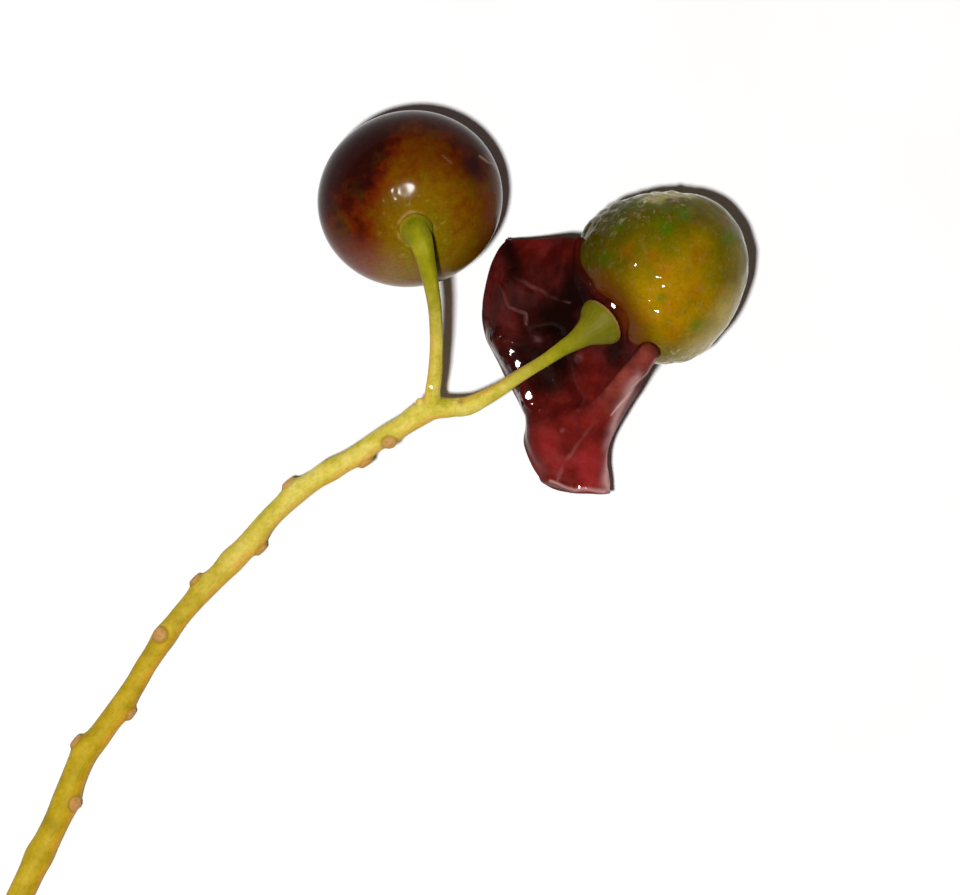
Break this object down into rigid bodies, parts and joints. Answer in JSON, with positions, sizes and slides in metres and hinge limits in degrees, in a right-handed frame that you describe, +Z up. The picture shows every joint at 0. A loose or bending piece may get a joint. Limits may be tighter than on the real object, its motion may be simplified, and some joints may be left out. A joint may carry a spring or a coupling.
{
  "type": "bird cherry sprig",
  "caption": "Cut fruit stalk lying flat, forked at its end to a whole bird cherry and a peeled one whose skin hangs turned back under the stalk.",
  "frame": {"origin": "centre of the bounding box on the surface that the sprig lies on", "axes": "+Y roughly along the stalk towards the fruit, +X towards the peeled cherry, +Z up from the surface"},
  "size_m": [0.0344, 0.0388, 0.0083],
  "materials": {
    "stalk_bark": "green stalk, yellow-green to ochre, satin, with brown scars",
    "cherry_skin": "ripening fruit skin, dark maroon to olive brown, glossy with a thin bloom",
    "cherry_flesh": "wet peeled fruit flesh, olive green to golden, clear at its rim",
    "peel_skin": "wet fruit skin, dark crimson, thin and glossy"
  },
  "bodies": {
    "root": {"stalk": "stalk_bark", "whole_cherry": "cherry_skin", "peeled_cherry": "cherry_flesh", "peel": "peel_skin"}
  },
  "joints": []
}
